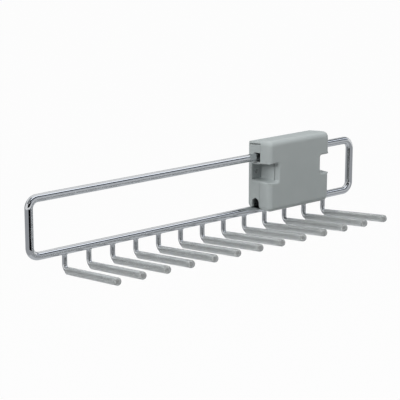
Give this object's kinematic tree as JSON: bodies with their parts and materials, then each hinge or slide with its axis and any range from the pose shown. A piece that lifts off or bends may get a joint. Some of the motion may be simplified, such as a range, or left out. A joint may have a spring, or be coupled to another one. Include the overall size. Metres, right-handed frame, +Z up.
{
  "type": "pull-out tie rack",
  "caption": "Closed wire loop that slides through a moulded wall housing and carries a row of sleeved pegs for ties.",
  "frame": {"origin": "on the wall face, midway between the two screw holes", "axes": "+X along the rails towards the back of the wardrobe, +Y into the wall, +Z up, so the pegs point towards -Y"},
  "size_m": [0.4584, 0.1305, 0.1037],
  "materials": {
    "housing_plastic": "fine moulded grain",
    "chromed_wire": "bright chrome plate",
    "clear_sleeve": "clear soft vinyl",
    "roller_nylon": "moulded black nylon",
    "pin_steel": "drawn steel pin"
  },
  "bodies": {
    "housing": {"housing_base": "housing_plastic", "housing_cover": "housing_plastic", "roller_pin_front": "pin_steel", "roller_pin_back": "pin_steel", "upper_glide": "roller_nylon", "lower_guide": "roller_nylon"},
    "tie_frame": {"rail_loop": "chromed_wire", "peg_1": "chromed_wire", "peg_2": "chromed_wire", "peg_3": "chromed_wire", "peg_4": "chromed_wire", "peg_5": "chromed_wire", "peg_6": "chromed_wire", "peg_7": "chromed_wire", "peg_8": "chromed_wire", "peg_9": "chromed_wire", "peg_10": "chromed_wire", "peg_11": "chromed_wire", "peg_12": "chromed_wire", "peg_13": "chromed_wire", "sleeve_1": "clear_sleeve", "sleeve_2": "clear_sleeve", "sleeve_3": "clear_sleeve", "sleeve_4": "clear_sleeve", "sleeve_5": "clear_sleeve", "sleeve_6": "clear_sleeve", "sleeve_7": "clear_sleeve", "sleeve_8": "clear_sleeve", "sleeve_9": "clear_sleeve", "sleeve_10": "clear_sleeve", "sleeve_11": "clear_sleeve", "sleeve_12": "clear_sleeve", "sleeve_13": "clear_sleeve"},
    "front_roller": {"roller_front": "roller_nylon"},
    "back_roller": {"roller_back": "roller_nylon"}
  },
  "joints": [
    {"name": "frame_slide", "type": "slide", "parent": "housing", "child": "tie_frame", "axis": [1, 0, 0], "range_m": [-0.043, 0.292]},
    {"name": "front_roller_spin", "type": "hinge", "parent": "housing", "child": "front_roller", "pos_m": [-0.0185, -0.0115, 0.00745], "axis": [0, 1, 0], "continuous": true},
    {"name": "back_roller_spin", "type": "hinge", "parent": "housing", "child": "back_roller", "pos_m": [0.0185, -0.0115, 0.00745], "axis": [0, 1, 0], "continuous": true}
  ],
  "couplings": [
    {"joint": "front_roller_spin", "follows": "frame_slide", "rad_per_m": 166.67},
    {"joint": "back_roller_spin", "follows": "frame_slide", "rad_per_m": 166.67}
  ]
}
